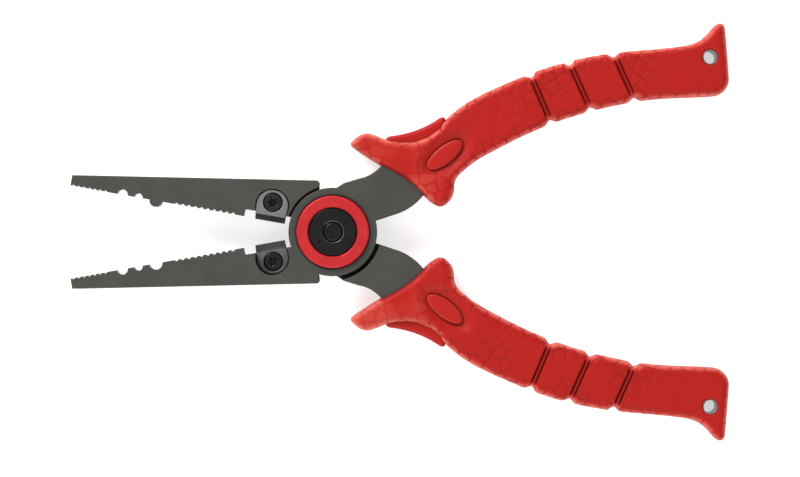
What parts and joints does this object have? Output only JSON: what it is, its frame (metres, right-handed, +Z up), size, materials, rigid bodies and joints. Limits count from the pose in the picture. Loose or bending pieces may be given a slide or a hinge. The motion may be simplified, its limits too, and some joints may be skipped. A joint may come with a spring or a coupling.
{
  "type": "fishing pliers",
  "caption": "Long-nose fishing pliers with half-lapped pivot, return spring, replaceable side cutters and soft grips with guard horns and lanyard holes.",
  "frame": {"origin": "on the pivot axis, in the plane the pliers lie on, which is the flat back face of the pivot bolt's head", "axes": "+Z up through the pivot towards the front face, -X towards the jaw tips, +X towards the handles, the pliers half open and symmetric about XZ in outline"},
  "size_m": [0.2067, 0.1312, 0.0132],
  "materials": {
    "lever_steel": "dark satin physical-vapour coating over stainless steel",
    "front_blade_steel": "fine ground, dark oxide",
    "deep_blade_steel": "fine ground, dark oxide",
    "screw_steel": "black oxide, oiled",
    "red_anodised": "red anodised, satin, bright chamfers",
    "black_oxide": "black oxide, satin",
    "bushing_steel": "ground",
    "washer_bronze": "plain bronze",
    "spring_steel": "bright drawn wire",
    "grip_core_red": "smooth moulded",
    "grip_skin_red": "soft satin overmould with embossed scales",
    "oval_red": "smooth satin",
    "eyelet_steel": "drawn tube"
  },
  "bodies": {
    "top_half": {"top_lever": "lever_steel", "top_cutter": "deep_blade_steel", "top_cutter_screw": "screw_steel", "top_pivot_ring": "red_anodised", "pivot_bolt": "black_oxide", "pivot_nut": "black_oxide", "pivot_bushing": "bushing_steel", "pivot_washer": "washer_bronze", "return_spring": "spring_steel", "top_grip_core": "grip_core_red", "top_grip_skin": "grip_skin_red", "top_oval_front": "oval_red", "top_oval_back": "oval_red", "top_lanyard_eyelet": "eyelet_steel"},
    "bottom_half": {"bottom_lever": "lever_steel", "bottom_cutter": "front_blade_steel", "bottom_cutter_screw": "screw_steel", "bottom_pivot_ring": "red_anodised", "bottom_grip_core": "grip_core_red", "bottom_grip_skin": "grip_skin_red", "bottom_oval_front": "oval_red", "bottom_oval_back": "oval_red", "bottom_lanyard_eyelet": "eyelet_steel"}
  },
  "joints": [
    {"name": "pivot", "type": "hinge", "parent": "top_half", "child": "bottom_half", "pos_m": [0, 0, 0.0066], "axis": [0, 0, 1], "range_deg": [-24, 20], "stiffness_Nm_per_rad": 1, "deforming": ["return_spring"]}
  ]
}
